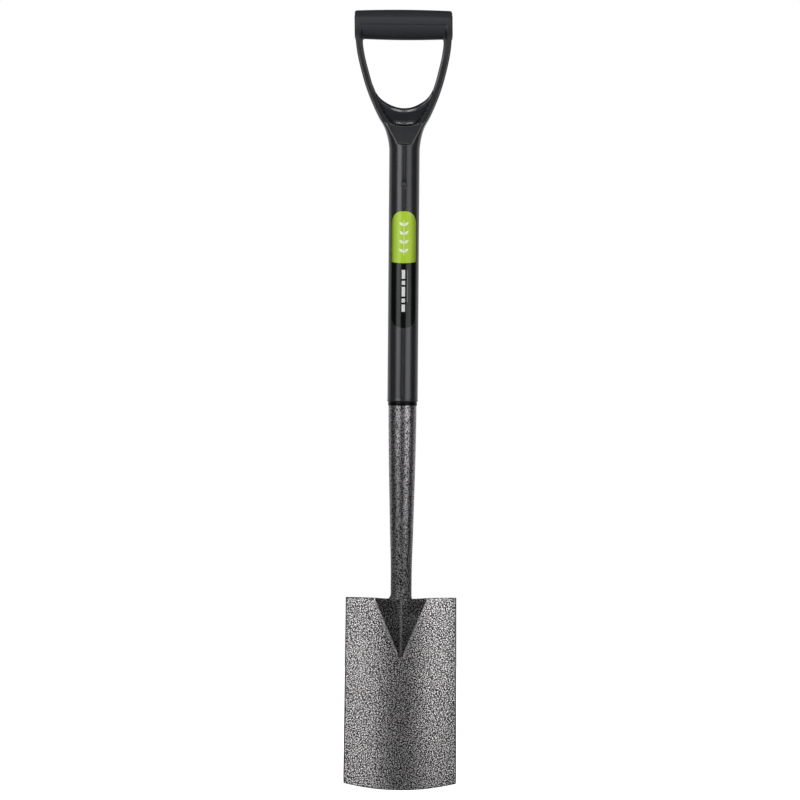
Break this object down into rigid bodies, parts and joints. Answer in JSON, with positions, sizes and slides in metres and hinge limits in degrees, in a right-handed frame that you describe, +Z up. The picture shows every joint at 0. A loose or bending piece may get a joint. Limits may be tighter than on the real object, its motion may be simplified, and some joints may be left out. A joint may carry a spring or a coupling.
{
  "type": "border spade",
  "caption": "Border spade with a dished hammered-paint blade, raised V frog, tapered tubular steel shaft and a moulded D-grip with a long sleeve, for digging in beds.",
  "frame": {"origin": "middle of the bounding box, at the level of the cutting edge", "axes": "+Z up the shaft from the cutting edge to the grip, +X to the right when looking at the dished face, -Y the side that the dished face and the label look to"},
  "size_m": [0.14, 0.061, 0.972],
  "materials": {
    "blade_paint": "silver and black hammered paint, semi-gloss",
    "shaft_paint": "silver and black hammered paint, semi-gloss",
    "weld_paint": "weld bead under hammered paint",
    "black_moulding": "black injection moulding, satin",
    "rivet_metal": "blackened, satin",
    "label_film": "printed film, green over black"
  },
  "bodies": {
    "root": {"blade": "blade_paint", "shaft_tube": "shaft_paint", "frog_weld": "weld_paint", "back_weld": "weld_paint", "d_grip": "black_moulding", "grip_rivet": "rivet_metal", "label": "label_film"}
  },
  "joints": []
}
